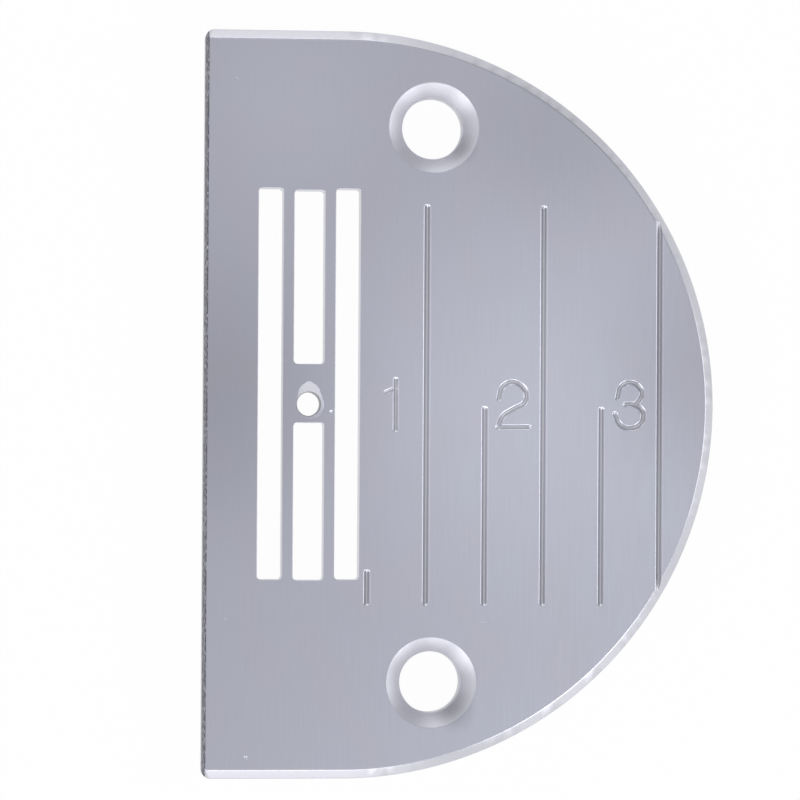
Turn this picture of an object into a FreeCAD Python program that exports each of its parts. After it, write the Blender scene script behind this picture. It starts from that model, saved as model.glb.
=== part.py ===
import FreeCAD, Part
import math
import os

from FreeCAD import Vector

# Sewing machine needle plate: one D-shaped steel plate, in millimetres.
# The origin is the centre of the needle hole on the sewing surface. +X runs across the seam
# towards the graduations, +Y runs along the feed, and +Z is out of the sewing surface.

# Blank
plate_thickness = 3.0
end_radius = 31.7             # rounded side, tangent to both ends: the plate is twice this long
straight_side = 8.85          # needle hole to the straight side, which meets the slide plate
arc_offset = 3.05             # needle hole to the centre of the rounded side
corner_radius = 0.7           # in plan, where the straight side meets the ends

# Edges of the sewing surface
bevel_width = 0.8             # cloth bevel along the ends and the rounded side
bevel_depth = 0.8
edge_break = 0.2              # the straight side is only eased, so that it closes on its neighbour
bevel_corner = 0.15

# Feed slots
web_thickness = 2.0           # what the relief leaves under the slots
outer_slot_width = 2.1
outer_slot_offset = 3.28
outer_slot_top = 18.25
outer_slot_bottom = -14.85
centre_slot_width = 2.6
centre_slot_top = 18.1
centre_slot_bottom = -14.9
bridge_top = 3.4              # the bridge between the centre slots carries the needle hole
bridge_bottom = -1.35
slot_corner = 0.3

# Needle hole, and the pear-shaped ramp that lets the thread run into it
needle_hole_diameter = 2.0
ramp_margin = 0.18            # round end of the ramp, beyond the radius of the hole
ramp_shift_x = 0.1            # centre of the round end, from the centre of the hole
ramp_shift_y = -0.06
ramp_reach = 1.97             # hole centre to the tip
ramp_tip_radius = 0.22
ramp_angle = 9.0              # degrees below the sewing surface

# Countersunk screw holes
screw_offset = 10.53
screw_inset = 8.15            # hole centre to the end of the plate
screw_hole_diameter = 5.2
countersink_diameter = 7.65
countersink_angle = 90.0

# Seam graduations, cut with a ball-nosed cutter
graduation_pitch = 5.0
graduation_reach = 17.1       # needle hole to the ends of the lines, along the feed
long_lines = (2, 4, 6)        # whole centimetres
half_lines = (3, 5)
short_lines = (1,)
short_line_length = 3.2
groove_width = 0.62
groove_depth = 0.24

# Relief milled into the underside round the slots
relief_margin = 1.6
relief_corner = 2.0

proud = 1.0                   # how far a cutting tool starts outside the steel


def rounded_outline(half_length, left, radius, corner, z):
    """Closed D: a straight side with two rounded corners, two ends and one half circle."""
    diagonal = corner * (1.0 - math.sqrt(0.5))

    def at(x, y):
        return Vector(x, y, z)

    edges = [
        Part.LineSegment(at(left + corner, -half_length), at(arc_offset, -half_length)),
        Part.Arc(at(arc_offset, -half_length), at(arc_offset + radius, 0), at(arc_offset, half_length)),
        Part.LineSegment(at(arc_offset, half_length), at(left + corner, half_length)),
        Part.Arc(at(left + corner, half_length), at(left + diagonal, half_length - diagonal),
                 at(left, half_length - corner)),
        Part.LineSegment(at(left, half_length - corner), at(left, corner - half_length)),
        Part.Arc(at(left, corner - half_length), at(left + diagonal, diagonal - half_length),
                 at(left + corner, -half_length)),
    ]
    return Part.Wire([edge.toShape() for edge in edges])


def make_blank():
    """Upright walls as far as the bevel, then a layer drawn in to the sewing surface."""
    foot = rounded_outline(end_radius, -straight_side, end_radius, corner_radius, -plate_thickness)
    walls = Part.Face(foot).extrude(Vector(0, 0, plate_thickness - bevel_depth))
    shoulder = rounded_outline(end_radius, -straight_side, end_radius, corner_radius, -bevel_depth)
    inner_radius = end_radius - bevel_width
    rim = rounded_outline(inner_radius, edge_break - straight_side, inner_radius, bevel_corner, 0)
    return walls.fuse(Part.makeLoft([shoulder, rim], True, True)).removeSplitter()


def rounded_prism(x0, x1, y0, y1, corner, z0, z1):
    """Upright block with rounded corners, as a punch or an end mill leaves it."""
    block = Part.makeBox(x1 - x0, y1 - y0, z1 - z0, Vector(x0, y0, z0))
    upright = [edge for edge in block.Edges if abs(edge.tangentAt(edge.FirstParameter).z) > 0.5]
    return block.makeFillet(corner, upright)


def make_slots():
    """Two outer feed slots, and a centre slot that the needle bridge divides."""
    slots = [(side * outer_slot_offset, outer_slot_width, outer_slot_bottom, outer_slot_top)
             for side in (-1, 1)]
    slots.append((0.0, centre_slot_width, bridge_top, centre_slot_top))
    slots.append((0.0, centre_slot_width, centre_slot_bottom, bridge_bottom))
    return [rounded_prism(x - width / 2, x + width / 2, y0, y1, slot_corner,
                          -plate_thickness - proud, proud)
            for x, width, y0, y1 in slots]


def make_relief():
    """Pocket round the slots, open to the underside."""
    reach = outer_slot_offset + outer_slot_width / 2 + relief_margin
    bottom = min(outer_slot_bottom, centre_slot_bottom) - relief_margin
    top = max(outer_slot_top, centre_slot_top) + relief_margin
    return rounded_prism(-reach, reach, bottom, top, relief_corner,
                         -plate_thickness - proud, -web_thickness)


def pear_outline(centre, radius, tip, tip_radius):
    """A large arc and a small one, joined by the two lines that are tangent to both."""
    axis = tip - centre
    lean = math.atan2(axis.y, axis.x)
    spread = math.acos((radius - tip_radius) / axis.Length)

    def on(middle, r, angle):
        return middle + Vector(r * math.cos(angle), r * math.sin(angle), 0)

    right, left = lean - spread, lean + spread
    edges = [
        Part.Arc(on(centre, radius, right), on(centre, radius, lean + math.pi), on(centre, radius, left)),
        Part.LineSegment(on(centre, radius, left), on(tip, tip_radius, left)),
        Part.Arc(on(tip, tip_radius, left), on(tip, tip_radius, lean), on(tip, tip_radius, right)),
        Part.LineSegment(on(tip, tip_radius, right), on(centre, radius, right)),
    ]
    return Part.Wire([edge.toShape() for edge in edges])


def make_needle_hole():
    return Part.makeCylinder(needle_hole_diameter / 2, plate_thickness + 2 * proud,
                             Vector(0, 0, -plate_thickness - proud))


def make_thread_ramp():
    """Pear-shaped recess with a sloping floor, from nothing at the tip to its deepest past the hole."""
    radius = needle_hole_diameter / 2 + ramp_margin
    centre = Vector(ramp_shift_x, ramp_shift_y, 0)
    tip = Vector(0, ramp_reach - ramp_tip_radius, 0)
    pear = Part.Face(pear_outline(centre, radius, tip, ramp_tip_radius))
    left, bottom = ramp_shift_x - radius, ramp_shift_y - radius
    depth = (ramp_reach - bottom) * math.tan(math.radians(ramp_angle))
    wedge_side = Part.makePolygon([Vector(left, ramp_reach, 0), Vector(left, bottom, -depth),
                                   Vector(left, bottom, 0), Vector(left, ramp_reach, 0)])
    wedge = Part.Face(wedge_side).extrude(Vector(2 * radius, 0, 0))
    return pear.extrude(Vector(0, 0, -depth)).common(wedge)


def make_screw_hole(y):
    """Clearance hole with a countersink for a flat-headed screw, turned about its axis."""
    bore = screw_hole_diameter / 2
    mouth = countersink_diameter / 2
    flare = math.tan(math.radians(countersink_angle / 2))
    foot = -plate_thickness - proud
    half_section = Part.makePolygon([
        Vector(0, 0, foot), Vector(bore, 0, foot), Vector(bore, 0, (bore - mouth) / flare),
        Vector(mouth + proud * flare, 0, proud), Vector(0, 0, proud), Vector(0, 0, foot)])
    tool = Part.Face(half_section).revolve(Vector(0, 0, 0), Vector(0, 0, 1), 360)
    tool.translate(Vector(screw_offset, y, 0))
    return tool


def make_groove(x, y0, y1):
    """Path of a ball-nosed cutter: a round bar with a ball at each end, sunk by the depth."""
    radius = (groove_width ** 2 / 4 + groove_depth ** 2) / (2 * groove_depth)
    height = radius - groove_depth
    first, last = y0 + groove_width / 2, y1 - groove_width / 2
    bar = Part.makeCylinder(radius, last - first, Vector(x, first, height), Vector(0, 1, 0))
    balls = [Part.makeSphere(radius, Vector(x, y, height)) for y in (first, last)]
    return bar.multiFuse(balls).removeSplitter()


def make_graduations():
    """A line at each half centimetre from the needle hole, as long as its rank."""
    short_top = short_line_length - graduation_reach
    ranks = ((long_lines, graduation_reach), (half_lines, 0.0), (short_lines, short_top))
    return [make_groove(number * graduation_pitch, -graduation_reach, top)
            for lines, top in ranks for number in lines]


def make_needle_plate():
    plate = make_blank()
    tools = make_slots() + make_graduations()
    tools += [make_relief(), make_needle_hole(), make_thread_ramp()]
    tools += [make_screw_hole(side * (end_radius - screw_inset)) for side in (-1, 1)]
    for tool in tools:
        plate = plate.cut(tool)
    return plate


needle_plate = make_needle_plate()
os.makedirs("parts", exist_ok=True)
for solid in needle_plate.Solids:
    print("needle_plate", "valid" if solid.isValid() else "not valid", round(solid.Volume, 1), "mm3")
needle_plate.exportStep("parts/needle_plate.step")
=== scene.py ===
import bmesh
import bpy
import math
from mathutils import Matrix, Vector


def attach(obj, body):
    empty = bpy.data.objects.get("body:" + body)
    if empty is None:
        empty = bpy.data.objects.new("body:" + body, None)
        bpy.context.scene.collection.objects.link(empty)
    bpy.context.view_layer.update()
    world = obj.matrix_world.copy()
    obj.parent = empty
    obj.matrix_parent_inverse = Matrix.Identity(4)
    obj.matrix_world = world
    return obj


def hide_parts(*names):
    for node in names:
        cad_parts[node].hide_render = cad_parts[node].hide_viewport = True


# Sewing machine needle plate: one ground steel plate. Lengths are in metres, angles in degrees.
# The needle hole is at the origin on the sewing surface, +X runs to the graduations, +Y along the feed.

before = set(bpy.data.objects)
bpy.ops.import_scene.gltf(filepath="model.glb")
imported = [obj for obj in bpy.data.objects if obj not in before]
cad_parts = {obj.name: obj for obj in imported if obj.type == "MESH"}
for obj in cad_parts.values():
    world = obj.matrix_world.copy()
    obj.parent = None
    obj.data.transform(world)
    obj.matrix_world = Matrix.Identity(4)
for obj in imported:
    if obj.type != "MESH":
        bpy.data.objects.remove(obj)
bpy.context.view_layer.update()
print("frame loaded")

near = 0.00001                # how close a vertex lies to the place that it is picked by
touching = 0.000001           # how close vertices lie that are one
clear = 0.001                 # how far a cutter starts outside the steel


# Helpers for modelling

def deselectAll():
    bpy.ops.object.select_all(action="DESELECT")


def chooseOnly(piece):
    deselectAll()
    piece.select_set(True)
    bpy.context.view_layer.objects.active = piece


def placed(name):
    # takes over the primitive that was just added, with its place in its mesh
    piece = bpy.context.object
    piece.name = piece.data.name = name
    bpy.ops.object.transform_apply(location=True, rotation=True, scale=True)
    return piece


def pickVertices(piece, test):
    bpy.ops.mesh.select_mode(type="VERT")
    mesh = bmesh.from_edit_mesh(piece.data)
    for vertex in mesh.verts:
        vertex.select_set(bool(test(vertex.co)))
    mesh.select_flush_mode()
    bmesh.update_edit_mesh(piece.data)


def pickEdges(piece, test):
    bpy.ops.mesh.select_mode(type="EDGE")
    bpy.ops.mesh.select_all(action="DESELECT")
    mesh = bmesh.from_edit_mesh(piece.data)
    for edge in mesh.edges:
        if test(edge):
            edge.select_set(True)
    bmesh.update_edit_mesh(piece.data)


def pickFaces(piece, test):
    bpy.ops.mesh.select_mode(type="FACE")
    bpy.ops.mesh.select_all(action="DESELECT")
    mesh = bmesh.from_edit_mesh(piece.data)
    for face in mesh.faces:
        if test(face):
            face.select_set(True)
    bmesh.update_edit_mesh(piece.data)


def pull(x=0.0, y=0.0, z=0.0):
    bpy.ops.mesh.extrude_region_move(TRANSFORM_OT_translate={"value": (x, y, z)})


def turnFacesOut():
    bpy.ops.mesh.select_all(action="SELECT")
    bpy.ops.mesh.normals_make_consistent(inside=False)


def joined(pieces, name):
    deselectAll()
    for piece in pieces:
        piece.select_set(True)
    bpy.context.view_layer.objects.active = pieces[0]
    if len(pieces) > 1:
        bpy.ops.object.join()
    pieces[0].name = name
    return pieces[0]


def cutAway(steel, cutter):
    chooseOnly(steel)
    cut = steel.modifiers.new("cut", "BOOLEAN")
    cut.operation = "DIFFERENCE"
    cut.solver = "EXACT"
    cut.object = cutter
    bpy.ops.object.modifier_apply(modifier=cut.name)
    bpy.data.objects.remove(cutter)


# Blank: a D with upright walls and a cloth bevel round the ends and the rounded side

plate = {
    "thickness": 0.003,
    "endRadius": 0.0317,      # rounded side, tangent to both ends
    "straightSide": -0.00885,
    "arcCentre": 0.00305,     # of the rounded side, along X
    "cornerRadius": 0.0007,   # in plan, on the straight side
    "bevelWidth": 0.0008,
    "bevelDepth": 0.0008,
    "edgeBreak": 0.0002,      # the straight side is only eased
    "bevelCorner": 0.00015,
    "arcSteps": 384,
    "cornerSteps": 8,
}


def makeBlank():
    left, radius, middle = plate["straightSide"], plate["endRadius"], plate["arcCentre"]
    corner, rimCorner = plate["cornerRadius"], plate["bevelCorner"]
    bpy.ops.mesh.primitive_circle_add(vertices=plate["arcSteps"], radius=radius, fill_type="NGON",
                                      location=(middle, 0, -plate["thickness"]))
    blank = placed("needlePlateSteel")
    bpy.ops.object.mode_set(mode="EDIT")
    # half a disc, and its flat edge pulled out to the straight side
    bpy.ops.mesh.select_all(action="SELECT")
    bpy.ops.mesh.bisect(plane_co=(middle, 0, 0), plane_no=(1, 0, 0), clear_inner=True, threshold=near)
    pickVertices(blank, lambda place: place.x < middle + near)
    pull(x=left - middle)
    pickVertices(blank, lambda place: abs(place.x - middle) < near)
    bpy.ops.mesh.dissolve_edges(use_verts=False)
    pickVertices(blank, lambda place: place.x < left + near)
    bpy.ops.mesh.bevel(offset=corner, segments=plate["cornerSteps"], affect="VERTICES",
                       clamp_overlap=False)
    # upright walls, then the layer that is drawn in to the sewing surface
    bpy.ops.mesh.select_all(action="SELECT")
    pull(z=plate["thickness"] - plate["bevelDepth"])
    pull(z=plate["bevelDepth"])
    pickVertices(blank, lambda place: place.z > -near and place.x > middle - near)
    shrink = (radius - plate["bevelWidth"]) / radius
    bpy.ops.transform.resize(value=(shrink, shrink, 1), center_override=(middle, 0, 0))
    for end in (-1, 1):
        pickVertices(blank, lambda place: place.z > -near and place.x < left + corner + near
                     and place.y * end > 0)
        shrink = rimCorner / corner
        bpy.ops.transform.resize(value=(shrink, shrink, 1),
                                 center_override=(left + corner, end * (radius - corner), 0))
        bpy.ops.transform.translate(value=(plate["edgeBreak"] + rimCorner - corner,
                                           end * (corner - plate["bevelWidth"] - rimCorner), 0))
    turnFacesOut()
    bpy.ops.object.mode_set(mode="OBJECT")
    return blank


# Feed slots, and the relief milled into the underside round them

slots = {
    "webThickness": 0.002,    # what the relief leaves under the slots
    "outerWidth": 0.0021,
    "outerOffset": 0.00328,
    "outerTop": 0.01825,
    "outerBottom": -0.01485,
    "centreWidth": 0.0026,
    "centreTop": 0.0181,
    "centreBottom": -0.0149,
    "bridgeTop": 0.0034,      # the bridge between the centre slots carries the needle hole
    "bridgeBottom": -0.0016,
    "corner": 0.0003,
    "cornerSteps": 6,
    "reliefMargin": 0.0016,
    "reliefCorner": 0.002,
    "reliefSteps": 12,
}


def makeBlock(low, high, corner, steps):
    middle = [(a + b) / 2 for a, b in zip(low, high)]
    size = [b - a for a, b in zip(low, high)]
    bpy.ops.mesh.primitive_cube_add(size=1, location=middle, scale=size)
    block = placed("blockCutter")
    bpy.ops.object.mode_set(mode="EDIT")
    pickEdges(block, lambda edge: abs(edge.verts[0].co.z - edge.verts[1].co.z) > near)
    bpy.ops.mesh.bevel(offset=corner, segments=steps, affect="EDGES", clamp_overlap=False)
    bpy.ops.object.mode_set(mode="OBJECT")
    return block


def cutSlots(steel):
    below = -plate["thickness"] - clear
    spans = [(side * slots["outerOffset"], slots["outerWidth"], slots["outerBottom"], slots["outerTop"])
             for side in (-1, 1)]
    spans.append((0, slots["centreWidth"], slots["bridgeTop"], slots["centreTop"]))
    spans.append((0, slots["centreWidth"], slots["centreBottom"], slots["bridgeBottom"]))
    cutters = [makeBlock((x - width / 2, bottom, below), (x + width / 2, top, clear),
                         slots["corner"], slots["cornerSteps"])
               for x, width, bottom, top in spans]
    cutAway(steel, joined(cutters, "slotCutter"))
    reach = slots["outerOffset"] + slots["outerWidth"] / 2 + slots["reliefMargin"]
    bottom = min(slots["outerBottom"], slots["centreBottom"]) - slots["reliefMargin"]
    top = max(slots["outerTop"], slots["centreTop"]) + slots["reliefMargin"]
    relief = makeBlock((-reach, bottom, below), (reach, top, -slots["webThickness"]),
                       slots["reliefCorner"], slots["reliefSteps"])
    cutAway(steel, relief)


# Needle hole, with the pear-shaped ramp that lets the thread run into it

needle = {
    "holeDiameter": 0.002,
    "rampMargin": 0.00018,    # round end of the ramp, beyond the radius of the hole
    "rampShiftX": 0.0001,     # centre of the round end
    "rampShiftY": -0.00006,
    "rampReach": 0.00197,     # hole centre to the tip
    "rampTipRadius": 0.00022,
    "rampWaist": (0.00002, 0.00085, 0.00095),    # disc that rounds the ramp's sides: x, y, radius
    "rampAngle": 9.0,         # of its floor, below the sewing surface
    "steps": 96,
}


def makeDisc(x, y, radius, steps, low, high):
    bpy.ops.mesh.primitive_cylinder_add(vertices=steps, radius=radius, depth=high - low,
                                        location=(x, y, (low + high) / 2))
    return placed("discCutter")


def cutNeedleHole(steel):
    radius, steps = needle["holeDiameter"] / 2, needle["steps"]
    cutAway(steel, makeDisc(0, 0, radius, steps, -plate["thickness"] - clear, clear))
    # the hull of three discs is the pear, and its floor slopes down from the tip
    x, y, waist = needle["rampWaist"]
    pear = joined([
        makeDisc(x, y, waist, steps, -clear, clear),
        makeDisc(needle["rampShiftX"], needle["rampShiftY"], radius + needle["rampMargin"], steps,
                 -clear, clear),
        makeDisc(0, needle["rampReach"] - needle["rampTipRadius"], needle["rampTipRadius"], steps,
                 -clear, clear)], "pearCutter")
    slope = math.radians(needle["rampAngle"])
    bpy.ops.object.mode_set(mode="EDIT")
    bpy.ops.mesh.select_all(action="SELECT")
    bpy.ops.mesh.convex_hull()
    bpy.ops.mesh.select_all(action="SELECT")
    bpy.ops.mesh.bisect(plane_co=(0, needle["rampReach"], 0),
                        plane_no=(0, -math.sin(slope), math.cos(slope)),
                        clear_inner=True, use_fill=True, threshold=touching)
    turnFacesOut()
    bpy.ops.object.mode_set(mode="OBJECT")
    cutAway(steel, pear)


# Countersunk screw holes

screwHoles = {
    "offset": 0.01053,
    "inset": 0.00815,         # hole centre to the end of the plate
    "diameter": 0.0052,
    "mouth": 0.00765,         # diameter of the countersink on the sewing surface
    "flare": 90.0,            # full angle of the countersink
    "surround": 0.0046,       # edges within this radius belong to the hole
    "steps": 128,
}


def cutScrewHole(steel, y):
    bore, mouth = screwHoles["diameter"] / 2, screwHoles["mouth"] / 2
    flare = math.tan(math.radians(screwHoles["flare"] / 2))
    cone = (mouth - bore) / flare
    drill = makeDisc(screwHoles["offset"], y, bore, screwHoles["steps"],
                     -plate["thickness"] - clear, -cone)
    bpy.ops.object.mode_set(mode="EDIT")
    pickFaces(drill, lambda face: face.normal.z > 0.5)
    pull(z=cone + clear)
    wide = (mouth + clear * flare) / bore
    bpy.ops.transform.resize(value=(wide, wide, 1), center_override=(screwHoles["offset"], y, 0))
    bpy.ops.object.mode_set(mode="OBJECT")
    cutAway(steel, drill)


# Edges eased by the tumbling that follows the machining

easing = {
    "outline": 0.00009,
    "slots": 0.00006,
    "screwHoles": 0.00007,
    "needleHole": 0.00004,
    "segments": 3,
    "sharperThan": 20.0,      # edges that are eased
    "smoothBelow": 30.0,      # edges that are shaded smooth
}


def easeEdges(steel, width, within=lambda place: True):
    chooseOnly(steel)
    bpy.ops.object.mode_set(mode="EDIT")
    pickEdges(steel, lambda edge: edge.calc_face_angle(0) > math.radians(easing["sharperThan"])
              and all(within(vertex.co) for vertex in edge.verts))
    bpy.ops.mesh.bevel(offset=width, segments=easing["segments"], affect="EDGES", clamp_overlap=False)
    bpy.ops.object.mode_set(mode="OBJECT")


# Seam graduations and their numerals: V-shaped grooves with a round nose and soft shoulders

groove = {
    "depth": 0.00026,
    "noseRadius": 0.00013,
    "wallAngle": 48.0,        # below the sewing surface
    "shoulderRadius": 0.00015,
    "faceAngle": 6.0,         # where the shoulder meets the sewing surface
    "lift": 0.000004,         # how far above it the cutter's shoulder ends
    "noseSteps": 5,
    "shoulderSteps": 4,
    "roundSteps": 32,         # round the ends of a groove
    "strokeSteps": 8,         # between two points of a stroke
    "planeWithin": 0.01,      # faces of the walls that are bent more than this are split
}

graduations = {
    "pitch": 0.005,
    "reach": 0.0171,          # needle hole to the ends of the lines, along the feed
    "long": (2, 4, 6),        # whole centimetres
    "half": (3, 5),
    "short": (1,),
    "shortLength": 0.0032,
}

numerals = {
    # the depth of each stroke and the points that it runs through
    "strokes": [
        (0.00020, ((0.00738, 0.00211), (0.00738, -0.00209))),                  # stem of the 1
        (0.00014, ((0.00655, 0.00106), (0.00724, 0.00137))),                   # flag of the 1
        (0.00019, ((0.01617, -0.00187), (0.01876, -0.00183))),                 # foot of the 2
        (0.00020, ((0.01619, 0.00060), (0.01650, 0.00155), (0.01732, 0.00198), (0.01818, 0.00163),
                   (0.01857, 0.00087), (0.01839, 0.00025), (0.01742, -0.00033),
                   (0.01653, -0.00095), (0.01613, -0.00184))),                 # the rest of the 2
        (0.00019, ((0.02638, 0.00068), (0.02672, 0.00168), (0.02755, 0.00202), (0.02829, 0.00160),
                   (0.02849, 0.00098), (0.02802, 0.00021))),                   # upper bowl of the 3
        (0.00020, ((0.02708, 0.00014), (0.02784, 0.00013), (0.02850, -0.00031), (0.02862, -0.00090),
                   (0.02830, -0.00156), (0.02745, -0.00188), (0.02663, -0.00157),
                   (0.02618, -0.00068))),                                      # lower bowl of the 3
    ],
}


def cutterSection(depth):
    # (half width, height) from the bottom of the nose, up the wall and over the shoulder to just
    # above the sewing surface
    wall, face = math.radians(groove["wallAngle"]), math.radians(groove["faceAngle"])
    nose, shoulder = groove["noseRadius"], groove["shoulderRadius"]
    section = []
    for step in range(groove["noseSteps"] + 1):
        angle = wall * step / groove["noseSteps"]
        section.append((nose * math.sin(angle), nose * (1 - math.cos(angle)) - depth))
    x, z = section[-1]
    low = groove["lift"] + shoulder * (math.cos(wall) - math.cos(face))
    x += (low - z) / math.tan(wall)
    for step in range(groove["shoulderSteps"] + 1):
        angle = wall + (face - wall) * step / groove["shoulderSteps"]
        section.append((x + shoulder * (math.sin(wall) - math.sin(angle)),
                        low + shoulder * (math.cos(angle) - math.cos(wall))))
    return section


def makeGrooveCutter(start, end, depth):
    # a round cutter drawn out from start to end, with its nose inset ring by ring
    (x0, y0), (x1, y1) = start, end
    section = cutterSection(depth)
    bpy.ops.mesh.primitive_cylinder_add(vertices=groove["roundSteps"], radius=section[-1][0],
                                        depth=clear, location=(0, 0, clear / 2 + groove["lift"]),
                                        rotation=(0, 0, math.pi / groove["roundSteps"]))
    cutter = placed("grooveCutter")
    bpy.ops.object.mode_set(mode="EDIT")
    pickVertices(cutter, lambda place: place.x > 0)
    bpy.ops.transform.translate(value=(math.hypot(x1 - x0, y1 - y0), 0, 0))
    pickFaces(cutter, lambda face: face.normal.z < -0.5)
    for (outer, high), (inner, low) in zip(section[:0:-1], section[-2::-1]):
        bpy.ops.mesh.inset(thickness=outer - max(inner, near), depth=high - low)
    bpy.ops.object.mode_set(mode="OBJECT")
    cutter.rotation_euler.z = math.atan2(y1 - y0, x1 - x0)
    cutter.location = (x0, y0, 0)
    return placed("grooveCutter")


def makeSectionCurve(half):
    # the cutter's outline, mirrored and closed above the steel
    half = half + [(half[-1][0], clear), (0, clear)]
    outline = half + [(-x, z) for x, z in half[-2:0:-1]]
    curve = bpy.data.curves.new("cutterSection", "CURVE")
    spline = curve.splines.new("POLY")
    spline.points.add(len(outline) - 1)
    for point, (x, z) in zip(spline.points, outline):
        point.co = (x, z, 0, 1)
    spline.use_cyclic_u = True
    section = bpy.data.objects.new("cutterSection", curve)
    bpy.context.collection.objects.link(section)
    return section


def makeStroke(points, section):
    # the section drawn along a smooth curve, with each end's place and the way that it faces
    path = bpy.data.curves.new("stroke", "CURVE")
    path.dimensions = "3D"
    path.twist_mode = "Z_UP"
    path.resolution_u = groove["strokeSteps"]
    path.bevel_mode = "OBJECT"
    path.bevel_object = section
    spline = path.splines.new("BEZIER")
    spline.bezier_points.add(len(points) - 1)
    for knot, (x, y) in zip(spline.bezier_points, points):
        knot.co = (x, y, 0)
        knot.handle_left_type = knot.handle_right_type = "AUTO"
    stroke = bpy.data.objects.new("strokeCutter", path)
    bpy.context.collection.objects.link(stroke)
    bpy.context.view_layer.update()
    first, last = spline.bezier_points[0], spline.bezier_points[-1]
    ends = [(first.co.copy(), (first.co - first.handle_right).normalized()),
            (last.co.copy(), (last.co - last.handle_left).normalized())]
    chooseOnly(stroke)
    bpy.ops.object.convert(target="MESH")
    return stroke, ends


def makeSweptCutter(points, depth):
    half = cutterSection(depth)
    section = makeSectionCurve(half)
    stroke, ends = makeStroke(points, section)
    bpy.data.objects.remove(section)
    reach = half[-1][0] + near
    bpy.ops.object.mode_set(mode="EDIT")
    for place, heading in ends:
        # one side of the open end, turned half round to close it
        side = Vector((-heading.y, heading.x, 0))
        pickVertices(stroke, lambda point: abs((point - place).dot(heading)) < near
                     and -near < (point - place).dot(side) < reach)
        bpy.ops.mesh.spin(steps=groove["roundSteps"] // 2, angle=math.pi, center=place, axis=(0, 0, 1))
    bpy.ops.mesh.select_all(action="SELECT")
    bpy.ops.mesh.remove_doubles(threshold=touching)
    turnFacesOut()
    bpy.ops.object.mode_set(mode="OBJECT")
    return stroke


def cutGraduations(steel):
    depth = groove["depth"]
    inset = cutterSection(depth)[-1][0]
    foot = -graduations["reach"]
    ranks = ((graduations["long"], graduations["reach"]), (graduations["half"], 0),
             (graduations["short"], foot + graduations["shortLength"]))
    cutters = []
    for lines, top in ranks:
        for line in lines:
            x = line * graduations["pitch"]
            cutters.append(makeGrooveCutter((x, foot + inset), (x, top - inset), depth))
    cutAway(steel, joined(cutters, "graduationCutter"))


def cutNumerals(steel):
    for depth, points in numerals["strokes"]:
        if len(points) == 2:
            cutAway(steel, makeGrooveCutter(points[0], points[1], depth))
        else:
            cutAway(steel, makeSweptCutter(points, depth))
        # walls that the next stroke may cross are made of plane faces
        bpy.ops.object.mode_set(mode="EDIT")
        bpy.ops.mesh.select_all(action="SELECT")
        bpy.ops.mesh.dissolve_degenerate(threshold=touching / 2)
        pickFaces(steel, lambda face: -2 * groove["depth"] < face.calc_center_median().z < -touching)
        bpy.ops.mesh.vert_connect_nonplanar(angle_limit=math.radians(groove["planeWithin"]))
        bpy.ops.object.mode_set(mode="OBJECT")


# Pits and nicks left by use

pits = {
    "roundness": 4,           # subdivisions of the ball that cuts a pit
    # x, y, radius and depth
    "marks": [
        (0.00189, -0.00062, 0.00022, 0.00005), (-0.00517, -0.02985, 0.00022, 0.00007),
        (-0.00694, -0.01825, 0.00025, 0.00003), (0.01090, -0.00342, 0.00020, 0.00002),
        (0.01490, -0.01850, 0.00020, 0.00003), (0.02750, -0.01910, 0.00022, 0.00004),
        (-0.00622, 0.02750, 0.00024, 0.00003), (0.02830, -0.01130, 0.00020, 0.00002),
    ],
}


def cutPits(steel):
    cutters = []
    for x, y, radius, depth in pits["marks"]:
        bpy.ops.mesh.primitive_ico_sphere_add(subdivisions=pits["roundness"], radius=radius,
                                              location=(x, y, radius - depth))
        cutters.append(placed("pitCutter"))
    cutAway(steel, joined(cutters, "pitCutter"))


def makeNeedlePlate():
    steel = makeBlank()
    easeEdges(steel, easing["outline"])
    cutSlots(steel)
    reach = slots["centreTop"] + slots["reliefMargin"] + clear
    easeEdges(steel, easing["slots"], lambda place: place.x < reach / 2 and abs(place.y) < reach
              and place.x > plate["straightSide"] + clear)
    for side in (-1, 1):
        y = side * (plate["endRadius"] - screwHoles["inset"])
        cutScrewHole(steel, y)
        easeEdges(steel, easing["screwHoles"], lambda place:
                  math.hypot(place.x - screwHoles["offset"], place.y - y) < screwHoles["surround"])
    cutNeedleHole(steel)
    easeEdges(steel, easing["needleHole"], lambda place: place.z < -easing["needleHole"]
              and abs(math.hypot(place.x, place.y) - needle["holeDiameter"] / 2) < near)
    print("blank, slots and holes cut")
    cutPits(steel)
    cutGraduations(steel)
    cutNumerals(steel)
    print("graduations, numerals and pits cut")
    bpy.ops.object.shade_smooth_by_angle(angle=math.radians(easing["smoothBelow"]))
    weight = steel.modifiers.new("flatFaces", "WEIGHTED_NORMAL")
    weight.keep_sharp = True
    bpy.ops.object.modifier_apply(modifier=weight.name)
    return steel


# Helpers for materials

def addNode(tree, kind, inputs, **settings):
    # a socket given as an input is linked, anything else is the input's own value
    node = tree.nodes.new(kind)
    for name, value in settings.items():
        setattr(node, name, value)
    for name, value in inputs.items():
        if isinstance(value, bpy.types.NodeSocket):
            tree.links.new(value, node.inputs[name])
        else:
            node.inputs[name].default_value = value
    return node


def ranged(tree, value, low, high, toLow=0.0, toHigh=1.0):
    node = addNode(tree, "ShaderNodeMapRange", {"Value": value, "From Min": low, "From Max": high,
                                                "To Min": toLow, "To Max": toHigh})
    return node.outputs["Result"]


def combined(tree, operation, first, second):
    return addNode(tree, "ShaderNodeMath", {0: first, 1: second}, operation=operation).outputs[0]


def mixed(tree, share, first, second):
    node = addNode(tree, "ShaderNodeMix", {0: share, 6: first, 7: second}, data_type="RGBA")
    return node.outputs[2]


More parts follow.
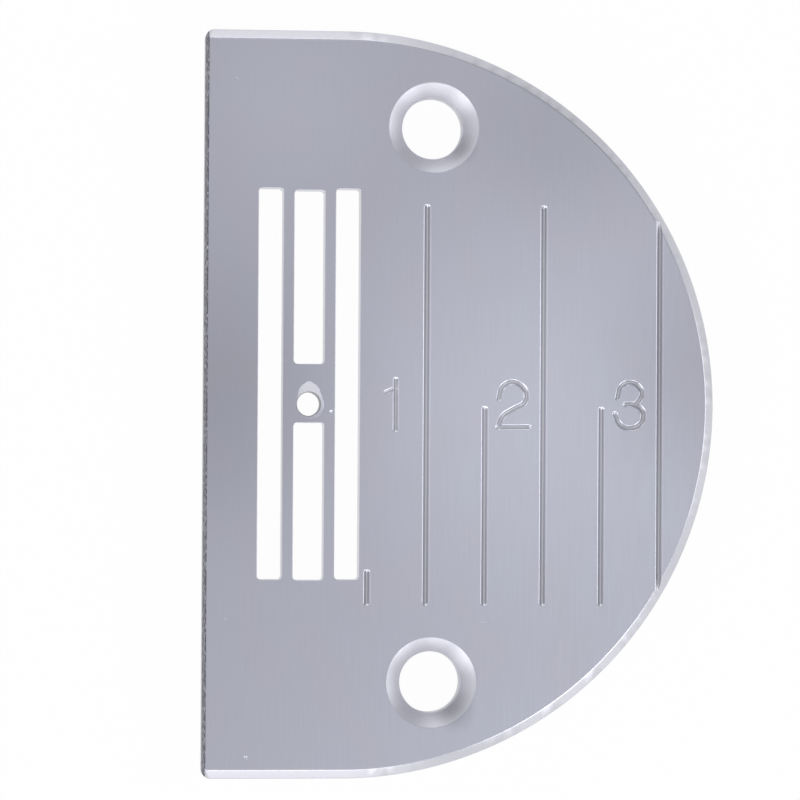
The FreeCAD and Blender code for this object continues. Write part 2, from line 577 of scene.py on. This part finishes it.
def newGroup(name, inputs, masks):
    group = bpy.data.node_groups.new(name, "ShaderNodeTree")
    for label, kind, value in inputs:
        socket = group.interface.new_socket(name=label, in_out="INPUT", socket_type="NodeSocket" + kind)
        socket.default_value = value
    for label in masks:
        group.interface.new_socket(name=label, in_out="OUTPUT", socket_type="NodeSocketFloat")
    return group, group.nodes.new("NodeGroupInput").outputs, group.nodes.new("NodeGroupOutput").inputs


# Ground steel

steelFinish = {
    "coolColour": (0.588, 0.604, 0.704, 1),
    "warmColour": (0.596, 0.598, 0.698, 1),
    "patchSize": 0.004,       # of the cool and warm patches
    "patchStretch": 1.5,
    "patchContrast": (0.35, 0.65),
    "roughness": (0.28, 0.33),
    "grindingWidth": 0.00016,
    "grindingStretch": 30.0,
    "grindingContrast": (0.3, 0.7),
    "grindingDepth": 0.0000012,
    "grindingShade": 0.965,
    "grainRoughness": 0.6,    # how much the finer levels of every grain count
    "cutColour": (0.588, 0.590, 0.645, 1),    # below the ground face
    "cutBelow": (-0.00001, -0.00004),
    # painted light and shade, brighter and darker soft areas on the face and painted shade inside the
    # countersinks: centre, reach and shade
    "paintedPools": [((0.017, 0.001, 0), 0.024, 1.18), ((-0.008, 0.001, 0), 0.017, 0.84),
             ((-0.002, 0.025, 0), 0.013, 1.08), ((0.0345, 0.003, 0), 0.014, 0.86),
             ((0.021, 0.023, 0), 0.011, 0.92), ((0.0130, 0.0218, -0.0007), 0.0018, 0.66),
             ((0.0125, -0.0258, -0.0007), 0.0024, 0.62)],
}

turningMarks = {
    "pitch": 0.00019,
    "wobble": 1.4,            # of the rings, in turns
    "wobbleScale": 900.0,
    "below": (-0.000005, -0.00002),
    "fade": (0.7, 0.95),      # from this share of the reach to that one
    "fadeTo": 0.3,
    "shade": 0.86,
    "depth": 0.000003,
    "roughness": 0.5,
    # painted light on the countersinks
    "countersinkPaintedLight": 1.14,         # of the countersinks
    "rampPitch": 0.00021,
    "rampReach": 0.0021,
    # painted light on the ramp's floor
    "rampPaintedLight": 1.55,
    "shadedRimReach": 0.00107,      # painted shade on the wall and eased edge of the needle hole
    "paintedRimShade": 0.45,
}

straightSide = {
    # rough and speckled, with painted shade: the eased edge and upper wall of the straight side are
    # painted dark, as they face away from the light
    "edge": -0.00856,
    "edgeWidth": 0.00005,
    "foot": (-0.0024, -0.0014),
    "paintedShadeColour": (0.10, 0.10, 0.12, 1),
    "lightColour": (0.42, 0.42, 0.48, 1),
    "roughness": 0.5,
    "speckSize": 0.00012,
    "speckStretch": 3.0,
    "speckContrast": (0.5, 0.62),
}


def makeGrain():
    # noise with cells of the given size in metres, drawn out along Y
    group, given, result = newGroup("grain", [
        ("Vector", "Vector", (0, 0, 0)), ("Cell", "Float", 0.001), ("Stretch", "Float", 1.0),
        ("Detail", "Float", 3.0)], ["Mask"])
    scaled = addNode(group, "ShaderNodeVectorMath", {0: given["Vector"]}, operation="SCALE")
    group.links.new(combined(group, "DIVIDE", 1.0, given["Cell"]), scaled.inputs["Scale"])
    along = addNode(group, "ShaderNodeSeparateXYZ", {0: scaled.outputs["Vector"]})
    drawn = addNode(group, "ShaderNodeCombineXYZ", {
        0: along.outputs[0], 1: combined(group, "DIVIDE", along.outputs[1], given["Stretch"]),
        2: along.outputs[2]})
    noise = addNode(group, "ShaderNodeTexNoise", {
        "Vector": drawn.outputs[0], "Scale": 1.0, "Detail": given["Detail"],
        "Roughness": steelFinish["grainRoughness"]})
    group.links.new(noise.outputs["Fac"], result["Mask"])
    return group


def makeTurning():
    # rings left by a turning tool round a centre, out to its reach and below the sewing surface
    group, given, result = newGroup("turning", [
        ("Vector", "Vector", (0, 0, 0)), ("Centre", "Vector", (0, 0, 0)), ("Reach", "Float", 0.004),
        ("Pitch", "Float", 0.0002)], ["Area", "Rings"])
    apart = addNode(group, "ShaderNodeVectorMath", {0: given["Vector"], 1: given["Centre"]},
                    operation="SUBTRACT")
    flat = addNode(group, "ShaderNodeVectorMath", {0: apart.outputs[0], 1: (1, 1, 0)},
                   operation="MULTIPLY")
    radius = addNode(group, "ShaderNodeVectorMath", {0: flat.outputs[0]},
                     operation="LENGTH").outputs["Value"]
    wobble = addNode(group, "ShaderNodeTexNoise", {
        "Vector": flat.outputs[0], "Scale": turningMarks["wobbleScale"], "Detail": 1.0}).outputs["Fac"]
    turns = combined(group, "DIVIDE", radius, given["Pitch"])
    turns = combined(group, "ADD", turns, combined(group, "MULTIPLY", wobble, turningMarks["wobble"]))
    rings = combined(group, "SINE", combined(group, "MULTIPLY", turns, 2 * math.pi), 0.0)
    rings = ranged(group, rings, -1.0, 1.0)
    outward = combined(group, "DIVIDE", radius, given["Reach"])
    rings = combined(group, "MULTIPLY", rings,
                     ranged(group, outward, *turningMarks["fade"], 1.0, turningMarks["fadeTo"]))
    inside = combined(group, "LESS_THAN", radius, given["Reach"])
    height = addNode(group, "ShaderNodeSeparateXYZ", {0: given["Vector"]}).outputs[2]
    area = combined(group, "MULTIPLY", inside, ranged(group, height, *turningMarks["below"]))
    group.links.new(area, result["Area"])
    group.links.new(combined(group, "MULTIPLY", area, rings), result["Rings"])
    return group


def grainMask(tree, grain, place, cell, stretch, detail=3.0):
    return addNode(tree, "ShaderNodeGroup", {"Vector": place, "Cell": cell, "Stretch": stretch,
                                             "Detail": detail}, node_tree=grain).outputs["Mask"]


def paintedPoolShade(tree, place, shade):
    # a soft ball of painted light or painted shade round each place
    for centre, reach, change in steelFinish["paintedPools"]:
        mapped = addNode(tree, "ShaderNodeMapping", {
            "Vector": place, "Location": [-part / reach for part in centre],
            "Scale": (1 / reach, 1 / reach, 1 / reach)})
        area = addNode(tree, "ShaderNodeTexGradient", {"Vector": mapped.outputs["Vector"]},
                       gradient_type="SPHERICAL").outputs["Fac"]
        area = addNode(tree, "ShaderNodeMapRange", {"Value": area, "To Min": 1.0, "To Max": change},
                       interpolation_type="SMOOTHSTEP").outputs["Result"]
        shade = combined(tree, "MULTIPLY", shade, area)
    return shade


def turnedMarksAndPaintedLight(tree, place, shade):
    # painted light on the countersinks and the ramp, painted shade in the needle hole's wall and edge,
    # and the turning rings, with masks of all that was turned and of its rings
    turning = makeTurning()
    along = plate["endRadius"] - screwHoles["inset"]
    turned = [((screwHoles["offset"], side * along, 0), screwHoles["mouth"] / 2,
               turningMarks["pitch"], turningMarks["countersinkPaintedLight"]) for side in (1, -1)]
    turned.append(((0, 0, 0), turningMarks["rampReach"], turningMarks["rampPitch"],
                   turningMarks["rampPaintedLight"]))
    cut = rings = 0.0
    for centre, reach, pitch, paintedLight in turned:
        marks = addNode(tree, "ShaderNodeGroup", {"Vector": place, "Centre": centre, "Reach": reach,
                                                  "Pitch": pitch}, node_tree=turning).outputs
        cut = combined(tree, "ADD", cut, marks["Area"])
        rings = combined(tree, "ADD", rings, marks["Rings"])
        # each turned area is drawn brighter by its painted light
        shade = combined(tree, "MULTIPLY", shade,
                         ranged(tree, marks["Area"], 0.0, 1.0, 1.0, paintedLight))
    shade = combined(tree, "MULTIPLY", shade,
                     ranged(tree, rings, 0.0, 1.0, 1.0, turningMarks["shade"]))
    # painted shade in the needle hole's wall and its eased edge
    shadedRim = addNode(tree, "ShaderNodeGroup", {"Vector": place, "Reach": turningMarks["shadedRimReach"]},
                  node_tree=turning).outputs["Area"]
    shade = combined(tree, "MULTIPLY", shade,
                     ranged(tree, shadedRim, 0.0, 1.0, 1.0, turningMarks["paintedRimShade"]))
    return shade, cut, rings


def makeSteel():
    steel = bpy.data.materials.new("groundSteel")
    steel.use_nodes = True
    tree = steel.node_tree
    shader = tree.nodes["Principled BSDF"]
    shader.inputs["Metallic"].default_value = 1
    place = addNode(tree, "ShaderNodeTexCoord", {}).outputs["Object"]
    across, _, high = addNode(tree, "ShaderNodeSeparateXYZ", {0: place}).outputs
    grain = makeGrain()
    patches = grainMask(tree, grain, place, steelFinish["patchSize"], steelFinish["patchStretch"], 0.0)
    ground = grainMask(tree, grain, place, steelFinish["grindingWidth"], steelFinish["grindingStretch"])

    colour = mixed(tree, ranged(tree, patches, *steelFinish["patchContrast"]),
                   steelFinish["coolColour"], steelFinish["warmColour"])
    colour = mixed(tree, ranged(tree, high, *steelFinish["cutBelow"]), colour, steelFinish["cutColour"])
    shade = ranged(tree, ground, *steelFinish["grindingContrast"], steelFinish["grindingShade"], 1.0)
    # painted light and shade from the soft areas, the countersinks, the ramp and the needle hole are
    # multiplied into the grinding shade
    shade, cut, rings = turnedMarksAndPaintedLight(tree, place, paintedPoolShade(tree, place, shade))
    colour = addNode(tree, "ShaderNodeVectorMath", {0: colour, "Scale": shade},
                     operation="SCALE").outputs["Vector"]

    # painted shade with specks on the eased edge and upper wall of the straight side
    specks = grainMask(tree, grain, place, straightSide["speckSize"], straightSide["speckStretch"])
    paintedShadeSide = mixed(tree, ranged(tree, specks, *straightSide["speckContrast"]),
                 straightSide["paintedShadeColour"], straightSide["lightColour"])
    side = ranged(tree, across, straightSide["edge"], straightSide["edge"] - straightSide["edgeWidth"])
    side = combined(tree, "MULTIPLY", side, ranged(tree, high, *straightSide["foot"]))
    tree.links.new(mixed(tree, side, colour, paintedShadeSide), shader.inputs["Base Color"])

    smoothest, roughest = steelFinish["roughness"]
    roughness = ranged(tree, ground, *steelFinish["grindingContrast"], roughest, smoothest)
    for area, rougher in ((side, straightSide["roughness"]), (cut, turningMarks["roughness"])):
        roughness = combined(tree, "MAXIMUM", roughness, combined(tree, "MULTIPLY", area, rougher))
    tree.links.new(roughness, shader.inputs["Roughness"])

    height = combined(tree, "MULTIPLY", ground, steelFinish["grindingDepth"])
    height = combined(tree, "ADD", height, combined(tree, "MULTIPLY", rings, turningMarks["depth"]))
    bump = addNode(tree, "ShaderNodeBump", {"Height": height, "Strength": 1.0, "Distance": 1.0})
    tree.links.new(bump.outputs["Normal"], shader.inputs["Normal"])
    return steel


# Floor, light and camera

studio = {
    "floorSize": 2.0,
    "white": (1, 1, 1, 1),
    "floorColour": (0.9, 0.9, 0.9, 1),
    "floorGlow": 0.97,        # share of plain white that the camera and the steel see in the floor
}

lamps = {
    # round soft lamps on a dome: direction, width in degrees, watts
    "distance": 1.0,
    "world": 0.5,             # strength of the plain light from all round
    "soft": [
        ((0, 0.4, 1), 12, 0.1), ((0.14, 0.4, 1), 12, 0.08), ((0.28, 0, 1), 12, 0.08),
        ((0.14, -0.2, 1), 12, 0.052), ((0.28, -0.2, 1), 12, 0.05), ((0.14, -0.4, 1), 12, 0.1),
        ((-0.75, 0, 1), 24, 0.299), ((-0.53, 0.53, 1), 24, 0.217),
        ((-1.2, -1.2, 1), 30, 1.417), ((1.2, -1.2, 1), 30, 1.417), ((0, -1.7, 1), 30, 0.228),
        ((1.7, 0, 1), 30, 0.439),
        ((-0.71, -0.71, 0.2), 34, 1.845), ((0, -1.0, 0.2), 34, 1.845), ((0.71, -0.71, 0.2), 34, 1.565),
        ((1.0, 0, 0.2), 34, 1.577), ((0, 1.0, 0.2), 34, 1.322), ((-0.71, 0.71, 0.2), 34, 1.031),
        ((-1.0, 0, 0.2), 34, 0.63),
    ],
}

photoCamera = {
    "place": (-0.028508, -0.004598, 0.344785),
    "turn": (0.792, -6.005, 0.312),
    "focalLength": 184.1,     # in millimetres
}


def makeFloor():
    bpy.ops.mesh.primitive_plane_add(size=studio["floorSize"], location=(0, 0, -plate["thickness"]))
    floor = placed("studioFloor")
    white = bpy.data.materials.new("studioWhite")
    white.use_nodes = True
    tree = white.node_tree
    tree.nodes.remove(tree.nodes["Principled BSDF"])
    matt = addNode(tree, "ShaderNodeBsdfDiffuse", {"Color": studio["floorColour"]})
    glow = addNode(tree, "ShaderNodeEmission", {"Color": studio["white"]})
    path = addNode(tree, "ShaderNodeLightPath", {})
    seen = combined(tree, "ADD", path.outputs["Is Camera Ray"], path.outputs["Is Glossy Ray"])
    seen = combined(tree, "ADD", seen, path.outputs["Is Transmission Ray"])
    share = combined(tree, "MULTIPLY", seen, studio["floorGlow"])
    mix = addNode(tree, "ShaderNodeMixShader", {"Fac": share, 1: matt.outputs[0], 2: glow.outputs[0]})
    tree.links.new(mix.outputs[0], tree.nodes["Material Output"].inputs["Surface"])
    floor.data.materials.append(white)


def makeLights():
    world = bpy.data.worlds.new("studioWorld")
    bpy.context.scene.world = world
    world.use_nodes = True
    sky = world.node_tree.nodes["Background"]
    sky.inputs["Color"].default_value = studio["white"]
    sky.inputs["Strength"].default_value = lamps["world"]
    for direction, width, power in lamps["soft"]:
        light = bpy.data.lights.new("softLamp", "AREA")
        light.shape = "DISK"
        light.size = 2 * lamps["distance"] * math.tan(math.radians(width / 2))
        light.energy = power
        lamp = bpy.data.objects.new("softLamp", light)
        lamp.location = Vector(direction).normalized() * lamps["distance"]
        lamp.rotation_euler = lamp.location.to_track_quat("Z", "Y").to_euler()
        lamp.visible_camera = False
        bpy.context.collection.objects.link(lamp)


def makeCamera():
    lens = bpy.data.cameras.new("photoCamera")
    lens.lens = photoCamera["focalLength"]
    camera = bpy.data.objects.new("photoCamera", lens)
    camera.location = photoCamera["place"]
    camera.rotation_euler = [math.radians(turn) for turn in photoCamera["turn"]]
    bpy.context.collection.objects.link(camera)
    bpy.context.scene.camera = camera


deselectAll()
needlePlate = makeNeedlePlate()
needlePlate.data.materials.clear()
needlePlate.data.materials.append(makeSteel())
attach(needlePlate, "root")
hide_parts("needle_plate")
makeFloor()
makeLights()
makeCamera()
bpy.context.scene.view_settings.view_transform = "Standard"
print("stage set")
